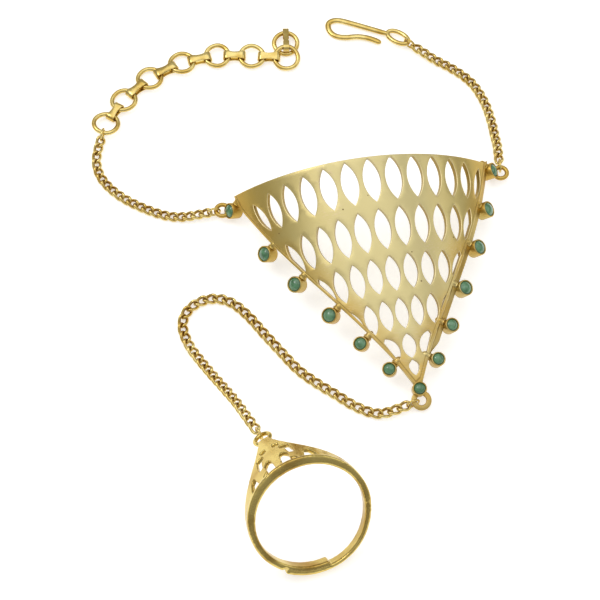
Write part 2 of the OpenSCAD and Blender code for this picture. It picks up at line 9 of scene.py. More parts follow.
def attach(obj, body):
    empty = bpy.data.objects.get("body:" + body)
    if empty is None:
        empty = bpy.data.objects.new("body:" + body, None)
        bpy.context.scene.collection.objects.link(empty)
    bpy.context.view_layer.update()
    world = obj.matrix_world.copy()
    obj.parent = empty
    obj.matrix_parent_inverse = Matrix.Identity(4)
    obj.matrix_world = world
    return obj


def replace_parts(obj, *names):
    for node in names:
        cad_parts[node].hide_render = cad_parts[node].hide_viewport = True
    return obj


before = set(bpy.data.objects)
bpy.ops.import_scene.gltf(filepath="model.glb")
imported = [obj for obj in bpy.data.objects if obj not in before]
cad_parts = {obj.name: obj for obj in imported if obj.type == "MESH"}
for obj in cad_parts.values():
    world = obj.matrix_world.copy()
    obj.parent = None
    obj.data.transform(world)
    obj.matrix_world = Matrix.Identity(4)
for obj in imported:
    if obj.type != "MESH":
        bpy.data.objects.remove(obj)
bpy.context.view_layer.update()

# Camera. The bracelet was photographed from above and in front, with a long lens, so that
# its far and near ends keep the same scale.
MM = 0.001
look_at = Vector((0.07, -2.81, 0)) * MM
camera_height_deg = 62
camera_distance = 420 * MM
half_view = 48 * MM

camera = bpy.data.objects.new("camera", bpy.data.cameras.new("camera"))
camera.data.sensor_width = 36
camera.data.lens = camera.data.sensor_width / 2 * camera_distance / half_view
camera.data.clip_start = 0.01
camera.data.clip_end = 10
lift = math.radians(camera_height_deg)
camera.location = look_at + camera_distance * Vector((0, -math.cos(lift), math.sin(lift)))
camera.rotation_euler = (math.pi / 2 - lift, 0, 0)
bpy.context.scene.collection.objects.link(camera)
bpy.context.scene.camera = camera
bpy.context.scene.view_settings.view_transform = "Standard"

# Studio. A white light table, which glows a little from below, under one very broad soft
# light overhead, a small one from the upper left and a soft one from the right, in a room
# that is paler overhead.
paper_size = 3.0
paper_white = 0.85
paper_glow = 0.5
room_light = 0.62
room_low = 0.44
top_light = {"size": 1.0, "power": 2.3, "place": (-0.1, 0.25, 0.8)}
left_light = {"size": 0.2, "power": 0.6, "place": (-0.35, 0.12, 0.45)}
right_light = {"size": 0.6, "power": 0.9, "place": (0.72, 0.06, 0.42)}


class Shade:
    """A shader socket. Arithmetic on it adds Math nodes, and node() adds any other node."""

    def __init__(self, tree, socket=None):
        self.tree = tree
        self.socket = socket

    def node(self, kind, settings=None, sockets=None, output=0):
        made = self.tree.nodes.new("ShaderNode" + kind)
        for name, value in (settings or {}).items():
            if name == "stops":
                ramp = made.color_ramp.elements
                for place, colour in zip(range(len(value)), value):
                    stop = ramp[place] if place < len(ramp) else ramp.new(colour[0])
                    stop.position = colour[0]
                    stop.color = colour[1]
            else:
                setattr(made, name, value)
        for name, value in (sockets or {}).items():
            if isinstance(value, Shade):
                self.tree.links.new(value.socket, made.inputs[name])
            else:
                made.inputs[name].default_value = value
        return Shade(self.tree, made.outputs[output])

    def math(self, operation, first, second):
        return self.node("Math", {"operation": operation}, {0: first, 1: second})

    def __add__(self, other):
        return self.math("ADD", self, other)

    def __radd__(self, other):
        return self.math("ADD", other, self)

    def __sub__(self, other):
        return self.math("SUBTRACT", self, other)

    def __rsub__(self, other):
        return self.math("SUBTRACT", other, self)

    def __mul__(self, other):
        return self.math("MULTIPLY", self, other)

    def __rmul__(self, other):
        return self.math("MULTIPLY", other, self)

    def spread(self, low, high):
        """This value brought from low..high to 0..1, and kept inside."""
        return self.node("MapRange", {"clamp": True}, {0: self, 1: low, 2: high})

    def between(self, first, second):
        """The colour between two colours that this value picks."""
        return self.node("Mix", {"data_type": "RGBA"}, {0: self, 6: first, 7: second}, 2)


def finish(name):
    """A new material with its object coordinates, in millimetres, and its surface shader."""
    material = bpy.data.materials.new(name)
    material.use_nodes = True
    tree = material.node_tree
    shade = Shade(tree)
    surface = tree.nodes["Principled BSDF"]
    where = shade.node("TexCoord", output=3)
    where = where.node("VectorMath", {"operation": "SCALE"}, {0: where, 3: 1 / MM})
    return material, where, surface


def lay(surface, name, value):
    """Feeds a value or a colour that changes over the surface to the shader."""
    surface.id_data.links.new(value.socket, surface.inputs[name])


paper, where, surface = finish("paper")
surface.inputs["Base Color"].default_value = (paper_white, paper_white, paper_white, 1)
surface.inputs["Specular IOR Level"].default_value = 0.1
grain = where.node("TexNoise", {}, {"Vector": where, "Scale": 0.8, "Detail": 3.0})
lay(surface, "Roughness", 0.85 + 0.1 * grain)
surface.inputs["Emission Color"].default_value = (1, 1, 1, 1)
surface.inputs["Emission Strength"].default_value = paper_glow

sweep = bpy.data.meshes.new("paper_sweep")
reach = paper_size / 2
sweep.from_pydata([(-reach, -reach, 0), (reach, -reach, 0), (reach, reach, 0), (-reach, reach, 0)],
                  [], [(0, 1, 2, 3)])
sweep.materials.append(paper)
floor = bpy.data.objects.new("paper_sweep", sweep)
bpy.context.scene.collection.objects.link(floor)

room = bpy.data.worlds.new("room")
room.use_nodes = True
air = Shade(room.node_tree)
height = air.node("SeparateXYZ", {}, {"Vector": air.node("TexCoord", output=0)}, 2)
air = height.spread(0.0, 0.8).between((room_low, room_low, room_low, 1), (1, 1, 1, 1))
sky = room.node_tree.nodes["Background"]
room.node_tree.links.new(air.socket, sky.inputs["Color"])
sky.inputs["Strength"].default_value = room_light
bpy.context.scene.world = room

for name, light in (("top_light", top_light), ("left_light", left_light),
                    ("right_light", right_light)):
    lamp = bpy.data.lights.new(name, "AREA")
    lamp.size = light["size"]
    lamp.energy = light["power"]
    holder = bpy.data.objects.new(name, lamp)
    holder.location = light["place"]
    holder.rotation_quaternion = Vector(light["place"]).to_track_quat("Z", "Y")
    holder.rotation_mode = "QUATERNION"
    bpy.context.scene.collection.objects.link(holder)

# Pierced plate. One piece of cast brass sheet bent to the back of the hand, with rows of
# pointed openings cut through, its edges filed round, satin finished and gilt.
plate_radius = 25
plate_thick = 0.8
edge_round = 0.12
plate_at = Vector((10.17, 17.49, 14.5))
plate_tilt = math.radians(18)
plate_turn = math.radians(12.9)
# top edge, seen from above: middle and radius of its arc
top_arc = (-11.9, -163.7, 162)
edge_line = [(24.9, 0.5), (23.7, 4.2), (18.6, 11.7), (14.1, 18), (9.6, 24.3), (5.9, 29.9),
             (2.9, 34.8), (0.7, 39.3)]
# metal left between an opening and the top edge, and the side edges
top_margin = 0.4
side_strap = 0.5
# narrow step outside the right edge: width, and how far it lies under the outer face
right_step = (0.9, 0.25)
# each row of openings: distance down the plate, spacing, length, bar between two, half count
rows = [(6, 3.55, 7.15, 0.8, 6), (14.05, 3.25, 6.6, 0.75, 5), (21.3, 2.9, 5.75, 0.62, 4),
        (27.8, 2.52, 5, 0.48, 3), (33.1, 2.75, 3.95, 0.62, 1)]
# how far the end openings of a row are moved out, and the slope of the top row
row_end = [0, -0.4, -0.35, -0.15, 0]
row_askew = [0.035, 0, 0, 0, 0]
side_shrink = 0.0027
row_sag = 0.0097
column_lean = 2.1
# how openings change across a row and down the rows: more lean by row, shorter towards the
# sides, and the end ones leaning further and narrower
lean_by_row = 0.12
length_fall = 0.006
end_lean = 14
last_row_end_lean = 20
end_width = 0.8
# the shortest side that an opening keeps where it is cut off
least_side = 0.04
# the last opening: distance down, length, width, and its round middle's rise and radius
last_opening = (36.6, 2.5, 1.4, 0.2, 0.78)


def on_plate(u, v):
    """The plate's own axes at a place on it: u across, v down, then along, up and out."""
    bend = u / plate_radius
    return (Matrix.Scale(MM, 4) @ Matrix.Translation(plate_at) @ Matrix.Rotation(plate_turn, 4, "Z")
            @ Matrix.Rotation(plate_tilt, 4, "X") @ Matrix.Translation((0, 0, -plate_radius))
            @ Matrix.Rotation(bend, 4, "Y") @ Matrix.Translation((0, -v, plate_radius)))


def piece(name, corners, faces, material, body="root"):
    """A smooth mesh object with one material, riding on a body."""
    mesh = bpy.data.meshes.new(name)
    mesh.from_pydata([tuple(c) for c in corners], [], faces)
    mesh.validate()
    mesh.shade_smooth()
    mesh.materials.append(material)
    made = bpy.data.objects.new(name, mesh)
    bpy.context.scene.collection.objects.link(made)
    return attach(made, body)


def pointed(u, v, length, width, lean, steps=11):
    """Outline of a pointed opening, counter-clockwise in u and v."""
    bow = (length * length + width * width) / (4 * width)
    half = math.asin(length / 2 / bow)
    turn = math.radians(lean)
    outline = []
    for side in (1, -1):
        for step in range(2 * steps):
            a = half * (step / steps - 1)
            x = side * (width / 2 - bow + bow * math.cos(a))
            y = side * bow * math.sin(a)
            x, y = x * math.cos(turn) + y * math.sin(turn), y * math.cos(turn) - x * math.sin(turn)
            outline.append((u + x, v - y))
    return outline[::-1]


def top_line(u, margin=0):
    """Distance down the plate of its top edge, or of a line some way inside it."""
    x = plate_radius * math.sin(u / plate_radius) - top_arc[0]
    return -top_arc[1] - math.sqrt((top_arc[2] - margin) ** 2 - x * x)


def cut(loop, point, away):
    """The part of a loop on the near side of a line through a point."""
    made = []
    for a, b in zip(loop, loop[1:] + loop[:1]):
        past = [(p[0] - point[0]) * away[0] + (p[1] - point[1]) * away[1] for p in (a, b)]
        if past[0] <= 0:
            made.append(a)
        if past[0] * past[1] < 0:
            share = past[0] / (past[0] - past[1])
            made.append((a[0] + share * (b[0] - a[0]), a[1] + share * (b[1] - a[1])))
    return [a for a, b in zip(made, made[1:] + made[:1]) if math.dist(a, b) > least_side]


def kept_in_plate(loop):
    """The opening cut off where it would come too near to the plate's edges."""
    middle = sum(p[0] for p in loop) / len(loop)
    side = -1 if middle < 0 else 1
    slope = (top_line(middle + 0.1, top_margin) - top_line(middle - 0.1, top_margin)) / 0.2
    loop = cut(loop, (middle, top_line(middle, top_margin)), (slope, -1))
    for a, b in zip(edge_line, edge_line[1:]):
        length = math.dist(a, b)
        away = (side * (b[1] - a[1]) / length, (a[0] - b[0]) / length)
        if min(p[1] for p in loop) < b[1] and max(p[1] for p in loop) > a[1]:
            loop = cut(loop, (side * a[0] - side_strap * away[0], a[1] - side_strap * away[1]), away)
    return loop


openings = []
for down, space, length, bar, half_count in rows:
    for j in range(-half_count, half_count + 1):
        side = (j > 0) - (j < 0)
        last = abs(j) == half_count
        narrow_row = half_count == 1
        across = space * (j - side_shrink * j ** 3)
        wide = space * (1 - 3 * side_shrink * j * j) - bar
        row = [r[0] for r in rows].index(down)
        lean = column_lean * j * (1 + lean_by_row * row)
        if last:
            lean += side * (last_row_end_lean if narrow_row else end_lean)
        if last and not narrow_row:
            wide *= end_width
        openings.append(kept_in_plate(pointed(
            across + (side * row_end[row] if last else 0),
            down + row_askew[row] * across + row_sag * across ** 2 / 2,
            length * (1 - length_fall * j * j), wide, lean)))

# the last opening is a small drop: a pointed opening with a round middle
down, length, width, drop_rise, drop_radius = last_opening
bow = (length * length + width * width) / (4 * width)
drop_points = 36
drop = []
for a in np.linspace(0, 2 * math.pi, drop_points, endpoint=False):
    inward = abs((bow - width / 2) * math.cos(a))
    lens = math.sqrt(inward ** 2 - (bow - width / 2) ** 2 + bow ** 2) - inward
    up = drop_rise * math.sin(a)
    circle = up + math.sqrt(up ** 2 - drop_rise ** 2 + drop_radius ** 2)
    drop.append((max(lens, circle) * math.cos(a), down - max(lens, circle) * math.sin(a)))
openings.append(drop)


def spaced(line, gap):
    """Points every gap or so along a line of points."""
    made = []
    for (u0, v0), (u1, v1) in zip(line, line[1:]):
        count = max(1, round(math.hypot(u1 - u0, v1 - v0) / gap))
        made += [(u0 + (u1 - u0) * k / count, v0 + (v1 - v0) * k / count) for k in range(count)]
    return made + [line[-1]]


edge_gap = 0.6


def side_edge(side):
    """Points down one side edge, from its corner on the top edge to the tip."""
    down = [v for u, v in edge_line]
    out = [u for u, v in edge_line]
    v = down[0]
    for _ in range(20):
        v = top_line(side * np.interp(v, down, out))
    corner = (np.interp(v, down, out), v)
    line = [corner] + [p for p in edge_line if p[1] > v + 0.05]
    return [(side * u, v) for u, v in spaced(line, edge_gap)]


right_side = side_edge(1)
left_side = side_edge(-1)[::-1]
top_points = 80
top_side = [(u, top_line(u))
            for u in np.linspace(left_side[-1][0], right_side[0][0], top_points)[1:-1]]
outline = [(float(u), float(v)) for u, v in left_side + top_side + right_side]


def offset(loop, distance):
    """The loop moved sideways into the metal, its sharp corners kept from flying out."""
    points = np.array(loop, float)
    ahead = np.roll(points, -1, 0) - points
    ahead /= np.linalg.norm(ahead, axis=1)[:, None]
    behind = np.roll(ahead, 1, 0)
    left = np.stack([-ahead[:, 1], ahead[:, 0]], 1) + np.stack([-behind[:, 1], behind[:, 0]], 1)
    left /= np.linalg.norm(left, axis=1)[:, None]
    square = np.stack([-ahead[:, 1], ahead[:, 0]], 1)
    stretch = 1 / np.clip((left * square).sum(1), 0.6, 1)
    return points + left * (distance * stretch)[:, None]


def turned(loop, clockwise):
    """The loop in the order that keeps the metal on its left."""
    area = sum(a[0] * b[1] - b[0] * a[1] for a, b in zip(loop, loop[1:] + loop[:1]))
    return loop if (area < 0) == clockwise else loop[::-1]


loops = [turned(outline, False)] + [turned(loop, True) for loop in openings]
rounds = 3
quarter = [(edge_round * (1 - math.sin(a)), edge_round * (1 - math.cos(a)))
           for a in np.linspace(0, math.pi / 2, rounds + 1)]
half = plate_thick / 2
# across a cut edge, from the outer face to the inner one: distance in, height, and how much
# of it is moved out with the right step
profile = [(d, half - h, 0) for d, h in quarter]
profile += [(0, half - right_step[1] + 0.04, 0.1), (0, half - right_step[1], 0.25),
            (0, half - right_step[1] - 0.01, 0.85), (0, half - right_step[1] - 0.08, 1)]
profile += [(d, h - half, 1) for d, h in reversed(quarter)]

# how far in from the side edges the gilding is deeper, and where a fine line is cut along
# them: its distance in and half its width
border_reach = 4.5
border_line = (0.6, 0.13)
# the right step is as wide as this at each place down the edge
step_down = [(4.5, 1), (33, 1), (35.2, 0)]
# how strongly painted shade browns the cut wall of the plate's own edge, against 1 in the openings
outer_wall_shade = 0.4

corners = []
faces = []
places = []
wall = []
rounded = []
rims = [[], []]
for loop in loops:
    start = len(corners)
    step = np.zeros(len(loop))
    if loop is loops[0]:
        on_side = np.array([abs(u - np.interp(v, *zip(*[(q[1], q[0]) for q in edge_line]))) < 0.02
                            for u, v in loop])
        step = on_side * np.interp([v for u, v in loop], *zip(*step_down)) * right_step[0]
    for distance, height, moved in profile:
        for u, v in offset(loop, distance - moved * step):
            corners.append(on_plate(u, v) @ Vector((0, 0, height)))
            places.append((u, v))
        # the cut walls are marked for painted shade, fainter on the plate's own edge
        painted_shade = outer_wall_shade if loop is loops[0] else 1.0
        wall += [(height < half - edge_round) * painted_shade] * len(loop)
        # the rounding rings along every cut edge are marked for a painted highlight
        rounded += [float(distance < 0.99 * edge_round and height > half - edge_round)] * len(loop)
    rims[0].append(offset(loop, edge_round))
    rims[1].append(offset(loop, edge_round - step))
    n = len(loop)
    for ring in range(len(profile) - 1):
        for k in range(n):
            a = start + ring * n + k
            b = start + ring * n + (k + 1) % n
            faces.append((a, b, b + n, a + n))


def inside(point, ring):
    """Whether a point is inside a closed ring of points."""
    x, y = point
    a = np.array(ring, float)
    b = np.roll(a, -1, 0)
    crosses = (a[:, 1] > y) != (b[:, 1] > y)
    reach_x = a[:, 0] + (y - a[:, 1]) * (b[:, 0] - a[:, 0]) / (b[:, 1] - a[:, 1] + 1e-12)
    return bool(np.count_nonzero(crosses & (x < reach_x)) % 2)


# how far round an opening's middle its outline can lie, across and down
opening_reach = (3.5, 4.5)


def in_metal(point, rims):
    return inside(point, rims[0]) and not any(
        inside(point, rim) for rim in rims[1:]
        if abs(rim[:, 0].mean() - point[0]) < opening_reach[0]
        and abs(rim[:, 1].mean() - point[1]) < opening_reach[1])


# points inside the faces: their spacing, their distance from any rim, and where they start
# and end across and down
grid = 0.75
grid_clear = 0.35
grid_across = (-25, 26)
grid_down = (1.5, 40)
for face_rims, height, flip in ((rims[0], half, 1), (rims[1], -half, -1)):
    flat_points = [Vector(p) for rim in face_rims for p in rim]
    flat_edges = []
    for rim in face_rims:
        first = len(flat_edges)
        flat_edges += [(first + k, first + (k + 1) % len(rim)) for k in range(len(rim))]
    all_rims = np.concatenate(face_rims)
    for u in np.arange(*grid_across, grid):
        for v in np.arange(*grid_down, grid):
            clear = np.hypot(all_rims[:, 0] - u, all_rims[:, 1] - v).min() > grid_clear
            if clear and in_metal((u, v), face_rims):
                flat_points.append(Vector((u, v)))
    points, _, triangles, _, _, _ = delaunay_2d_cdt(flat_points, flat_edges, [], 0, 1e-5)
    start = len(corners)
    corners += [on_plate(p[0], p[1]) @ Vector((0, 0, height)) for p in points]
    places += [(p[0], p[1]) for p in points]
    wall += [0.0] * len(points)
    rounded += [0.0] * len(points)
    for triangle in triangles:
        middle = sum((points[k] for k in triangle), Vector((0, 0))) / 3
        if in_metal(middle, face_rims):
            faces.append(tuple(start + k for k in triangle[::-flip]))

satin_gold, where, surface = finish("satin_gold")
crest_highlight_gold = (0.63, 0.54, 0.265, 1)
pale_gold = (0.57, 0.44, 0.13, 1)
deep_gold_and_slope_shade = (0.56, 0.36, 0.075, 1)
worn_pink = (0.70, 0.55, 0.36, 1)
edge_highlight_gold = (0.82, 0.70, 0.40, 1)
wall_shade_and_line_brown = (0.30, 0.19, 0.045, 1)
pit_brown = (0.16, 0.09, 0.03, 1)
clouds = where.node("TexNoise", {}, {"Vector": where, "Scale": 0.16, "Detail": 3.0})
brushed = where.node("VectorMath", {"operation": "MULTIPLY"}, {0: where, 1: (0.35, 4.5, 4.5)})
strokes = where.node("TexNoise", {}, {"Vector": brushed, "Scale": 1.6, "Detail": 5.0})
fine = where.node("TexNoise", {}, {"Vector": where, "Scale": 7.0, "Detail": 3.0})
cells = where.node("TexVoronoi", {}, {"Vector": where, "Scale": 0.42, "Randomness": 1.0})
pit = 1 - cells.spread(0.035, 0.06)
# the colour is palest along the plate's crest as a painted highlight and deeper gold on its
# two slopes as painted shade, the line between them wavering at random
centred = where.node("VectorMath", {"operation": "SUBTRACT"}, {0: where, 1: tuple(plate_at)})
level = where.node("VectorRotate", {"rotation_type": "Z_AXIS"},
                   {"Vector": centred, "Angle": -plate_turn})
slope = level.node("SeparateXYZ", {}, {"Vector": level}, 0)
slope = slope.math("ABSOLUTE", slope, 0.0) + 5 * clouds
wall_shade = where.node("Attribute", {"attribute_name": "wall"}, output=2)
colour = slope.spread(9, 21).between(crest_highlight_gold, pale_gold)
colour = slope.spread(16, 27).between(colour, deep_gold_and_slope_shade)
from_side = where.node("Attribute", {"attribute_name": "from_side"}, output=2)
border = from_side.spread(border_reach, 0.45)
colour = (0.85 * border * clouds.spread(0.3, 0.55)).between(colour, deep_gold_and_slope_shade)
off_line = from_side - border_line[0]
groove = off_line.math("ABSOLUTE", off_line, 0.0).spread(border_line[1], 0.03)
colour = (0.75 * groove).between(colour, wall_shade_and_line_brown)
scuffs = strokes.spread(0.52, 0.68) * clouds.spread(0.48, 0.62)
colour = (0.6 * scuffs).between(colour, worn_pink)
# a pale painted highlight along the rounded edges of every cut
rounded_edge = where.node("Attribute", {"attribute_name": "rounded_edge"}, output=2)
colour = (0.8 * rounded_edge).between(colour, edge_highlight_gold)
# the cut walls are browned as painted shade
colour = (0.75 * wall_shade).between(colour, wall_shade_and_line_brown)
lay(surface, "Base Color", pit.between(colour, pit_brown))
surface.inputs["Metallic"].default_value = 1
lay(surface, "Roughness", 0.3 + 0.16 * strokes + 0.3 * pit)
relief = 0.4 * strokes + 0.35 * fine - 0.9 * pit - 1.5 * groove
bump = relief.node("Bump", {}, {"Strength": 0.4, "Distance": 0.05 * MM, "Height": relief})
lay(surface, "Normal", bump)

plate = piece("pierced_plate", corners, faces, satin_gold)
walls = plate.data.attributes.new("wall", "FLOAT", "POINT")
walls.data.foreach_set("value", np.array(wall, np.float32))
places = np.array(places, float)
side_at = np.interp(places[:, 1], [v for u, v in edge_line], [u for u, v in edge_line])
edge_highlight_layer = plate.data.attributes.new("rounded_edge", "FLOAT", "POINT")
edge_highlight_layer.data.foreach_set("value", np.array(rounded, np.float32))
near = plate.data.attributes.new("from_side", "FLOAT", "POINT")
near.data.foreach_set("value", (side_at - abs(places[:, 0])).astype(np.float32))
weld = bmesh.new()
weld.from_mesh(plate.data)
bmesh.ops.remove_doubles(weld, verts=weld.verts, dist=1e-7)
bmesh.ops.recalc_face_normals(weld, faces=weld.faces)
weld.to_mesh(plate.data)
weld.free()
plate.data.shade_smooth()
flatter = plate.modifiers.new("flatter_faces", "WEIGHTED_NORMAL")
flatter.weight = 90
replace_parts(plate, "hand_plate")

# Bezel cups. Short tubes of the same metal with a thin rubbed-over rim, each on a round peg
# soldered to the plate's edge, with a small collar where the peg meets the cup.
corner_settings = {-1: (25.7, 4, 1.3), 1: (24.5, 6.1, 1.3)}
settings = [(20, 12.95, 1.35), (15.65, 19.25, 1.32), (11.1, 25.6, 1.3), (7.3, 31.2, 1.18),
            (3.85, 36.15, 1.15), (0, 40.15, 1.15)]
cup_rise = 1
cup_height = 2
cup_wall = 0.22
seat_depth = 0.8
peg_radius = 0.62
peg_turn = math.radians(54)
peg_reach = 2.7


lathe_sides = 40


def lathe(outline, place, sides=lathe_sides):
    """Corners and faces of an outline, as distance out and height, turned round an axis."""
    corners = [place @ Vector((r * math.cos(a), r * math.sin(a), z))
               for r, z in outline for a in np.linspace(0, 2 * math.pi, sides, endpoint=False)]
    faces = []
    for ring in range(len(outline) - 1):
        for k in range(sides):
            a, b = ring * sides + k, ring * sides + (k + 1) % sides
            faces.append((a, b, b + sides, a + sides))
    return corners, faces


def joined(parts):
    """Corners and faces of several parts as one."""
    corners, faces = [], []
    for more, shapes in parts:
        faces += [tuple(len(corners) + k for k in shape) for shape in shapes]
        corners += more
    return corners, faces


def cup_outline(r):
    base = cup_rise - cup_height
    seat = cup_rise - seat_depth
    rim = cup_wall / 2
    curl = [(r - rim + rim * math.cos(a), cup_rise - rim + rim * math.sin(a))
            for a in np.linspace(0, math.pi, 7)]
    return ([(0, base), (r - 0.2, base), (r - 0.05, base + 0.05), (r, base + 0.2)] + curl
            + [(r - cup_wall, seat), (0, seat)])


def peg_outline():
    collar = [(peg_radius + 0.1 * math.sin(a), -0.1 * math.cos(a))
              for a in np.linspace(0, math.pi, 6)]
    return [(0, 0), (peg_radius, 0)] + [(r, z + 1.42) for r, z in collar] + [
        (peg_radius, 1.6), (peg_radius - 0.04, 1.75), (peg_radius, 1.9), (peg_radius - 0.04, 2.1),
        (0.46, 2.4), (0.25, peg_reach - 0.1), (0, peg_reach)]


cups = []
for side in (-1, 1):
    for u, v, r in [corner_settings[side]] + settings[:-1]:
        cups.append(lathe(cup_outline(r), on_plate(side * u, v)))
        toward = (Matrix.Rotation(side * peg_turn, 4, "Z") @ Matrix.Translation((0, 0, -0.15))
                  @ Matrix.Rotation(-math.pi / 2, 4, "X"))
        cups.append(lathe(peg_outline(), on_plate(side * u, v) @ toward, 24))
cups.append(lathe(cup_outline(settings[-1][2]), on_plate(0, settings[-1][1])))
bezels = piece("bezel_cups", *joined(cups), satin_gold)

# Stones. Small low cabochons of green stone, slightly cloudy inside, darker where the wall
# of the cup shades them, one glued in each cup.
stone_gap = 0.03
dome_rise = 0.5
girdle = seat_depth - 0.17

green_stone, where, surface = finish("green_stone")
leaf_green = (0.10, 0.265, 0.125, 1)
moss_green = (0.045, 0.14, 0.055, 1)
cloud_green = (0.2, 0.38, 0.22, 1)
rim_green = (0.03, 0.07, 0.022, 1)
veins = where.node("TexNoise", {}, {"Vector": where, "Scale": 1.1, "Detail": 4.0,
                                    "Distortion": 0.6})
mist = where.node("TexNoise", {}, {"Vector": where, "Scale": 0.7, "Detail": 2.0})
edge = where.node("Attribute", {"attribute_name": "rim_shade"}, output=2)
green = veins.spread(0.36, 0.62).between(moss_green, leaf_green)
green = (mist.spread(0.55, 0.75) * 0.6).between(green, cloud_green)
lay(surface, "Base Color", edge.between(green, rim_green))
lay(surface, "Roughness", 0.12 + 0.15 * mist)
surface.inputs["IOR"].default_value = 1.56
surface.inputs["Coat Weight"].default_value = 0.6
surface.inputs["Coat Roughness"].default_value = 0.05

names = [(-1, k, f"stone_left_{k + 1}") for k in range(6)]
names += [(1, k, f"stone_right_{k + 1}") for k in range(6)] + [(1, 6, "stone_tip")]
for side, k, node in names:
    u, v, r = settings[k - 1] if k else corner_settings[side]
    r = r - cup_wall - stone_gap
    dome = (r * r + dome_rise ** 2) / (2 * dome_rise)
    arc = math.asin(r / dome)
    outline = [(0, 0), (r, 0), (r, girdle)]
    outline += [(dome * math.sin(a), girdle + dome_rise - dome + dome * math.cos(a))
                for a in np.linspace(arc, 0, 9)]
    place = on_plate(side * u, v) @ Matrix.Translation((0, 0, cup_rise - seat_depth + 0.02))
    corners, faces = lathe(outline, place)
    stone = piece(node + "_cabochon", corners, faces, green_stone)
    shade = stone.data.attributes.new("rim_shade", "FLOAT", "POINT")
    outward = np.repeat([p[0] / r for p in outline], lathe_sides)
    shade.data.foreach_set("value", np.clip((outward - 0.8) / 0.2, 0, 1) ** 1.5 * 0.85)
    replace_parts(stone, node)

# Loops and eye. Round wire loops soldered outside the two corner cups and a flat pierced
# eye beyond the tip, which take the end links of the three chains.
loop_radius = 1.05
loop_wire = 0.36
loop_step = {-1: Vector((-1.85, 0.3, -0.4)), 1: Vector((1.95, 0.25, -0.75))}
tip_eye = (41.9, 1.6, 0.75, 0.5)
eye_drop = 0.3


def ring_outline(radius, wire, flat=1.0, steps=14):
    return [(radius + wire * math.cos(a), flat * wire * math.sin(a))
            for a in np.linspace(0, 2 * math.pi, steps + 1)]


fittings = []
for side in (-1, 1):
    cup_at = on_plate(side * corner_settings[side][0], corner_settings[side][1]).translation / MM
    place = Matrix.Scale(MM, 4) @ Matrix.Translation(cup_at + loop_step[side])
    fittings.append(lathe(ring_outline(loop_radius, loop_wire), place, 48))
down, outer, hole, thick = tip_eye
soft = 0.12
washer = [(hole + soft, thick / 2), (outer - soft, thick / 2), (outer - 0.03, thick / 2 - 0.04),
          (outer, thick / 2 - soft), (outer, soft - thick / 2), (outer - 0.03, 0.04 - thick / 2),
          (outer - soft, -thick / 2), (hole + soft, -thick / 2), (hole + 0.03, 0.04 - thick / 2),
          (hole, soft - thick / 2), (hole, thick / 2 - soft), (hole + 0.03, thick / 2 - 0.04),
          (hole + soft, thick / 2)]
fittings.append(lathe(washer, on_plate(0, down) @ Matrix.Translation((0, 0, -eye_drop)), 48))
piece("corner_loops_and_eye", *joined(fittings), satin_gold)

# Curb chains. Links of round wire, each an oval with a twist that lets it lie flat against
# the next, polished bright, with painted shade browning the inner side of each wire.
link_wire = 0.26
link_shapes = {"left_wrist_chain": (0.94, 0.58, 0.32), "right_wrist_chain": (0.94, 0.58, 0.32),
               "finger_chain": (1.04, 0.62, 0.32)}
link_steps = 36
link_sides = 10

chain_gold, where, surface = finish("chain_gold")
bright_gold = (0.80, 0.64, 0.25, 1)
warm_gold = (0.60, 0.41, 0.10, 1)
inner_shade_brown = (0.38, 0.22, 0.06, 1)
tone = where.node("TexNoise", {}, {"Vector": where, "Scale": 0.5, "Detail": 2.0})
wear = where.node("TexNoise", {}, {"Vector": where, "Scale": 6.0, "Detail": 3.0})
inner_side = where.node("Attribute", {"attribute_name": "inner_side"}, output=2)
colour = tone.spread(0.35, 0.65).between(warm_gold, bright_gold)
# the inner side of each wire is browned as painted shade where the links meet
lay(surface, "Base Color", (0.8 * inner_side).between(colour, inner_shade_brown))
surface.inputs["Metallic"].default_value = 1
lay(surface, "Roughness", 0.1 + 0.18 * wear)
bump = wear.node("Bump", {}, {"Strength": 0.25, "Distance": 0.03 * MM, "Height": wear})
lay(surface, "Normal", bump)


def loose_parts(node):
    """The corners of each separate solid of a node, one array each, in millimetres."""
    mesh = bmesh.new()
    mesh.from_mesh(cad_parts[node].data)
    bmesh.ops.remove_doubles(mesh, verts=mesh.verts, dist=1e-6)
    left = set(mesh.verts)
    parts = []
    # a set has no order of its own, so solids and corners are put in one, the same each run
    for first in mesh.verts:
        if first not in left:
            continue
        left.remove(first)
        queue = [first]
        part = []
        while queue:
            corner_here = queue.pop()
            part.append(tuple(corner_here.co / MM))
            for edge_here in corner_here.link_edges:
                other = edge_here.other_vert(corner_here)
                if other in left:
                    left.remove(other)
                    queue.append(other)
        parts.append(np.array(sorted(part)))
    mesh.free()
    return parts


def own_axes(part):
    """Middle of a solid and its long, middle and short ways, as a placing matrix."""
    middle = (part.max(0) + part.min(0)) / 2 if len(part) < 8 else part.mean(0)
    ways = np.linalg.svd(part - middle, full_matrices=False)[2]
    if np.linalg.det(ways) < 0:
        ways[2] *= -1
    place = Matrix.Identity(4)
    for k in range(3):
        for row in range(3):
            place[row][k] = ways[k][row]
        place[k][3] = middle[k]
    return Matrix.Scale(MM, 4) @ place


def wire_loop(points, wire, place, sides=10, flat=1.0):
    """Corners and faces of a closed wire along points, its section as high as flat."""
    points = np.array(points, float)
    ahead = np.roll(points, -1, 0) - np.roll(points, 1, 0)
    ahead /= np.linalg.norm(ahead, axis=1)[:, None]
    out = points * (1, 1, 0)
    out -= (out * ahead).sum(1)[:, None] * ahead
    out /= np.linalg.norm(out, axis=1)[:, None]
    up = np.cross(ahead, out)
    corners = []
    for p, o, w in zip(points, out, up):
        for a in np.linspace(0, 2 * math.pi, sides, endpoint=False):
            corners.append(place @ Vector(p + wire * (math.cos(a) * o + flat * math.sin(a) * w)))
    faces = []
    for ring in range(len(points)):
        for k in range(sides):
            a, b = ring * sides + k, ring * sides + (k + 1) % sides
            c, d = (a + sides) % len(corners), (b + sides) % len(corners)
            faces.append((a, c, d, b))
    return corners, faces


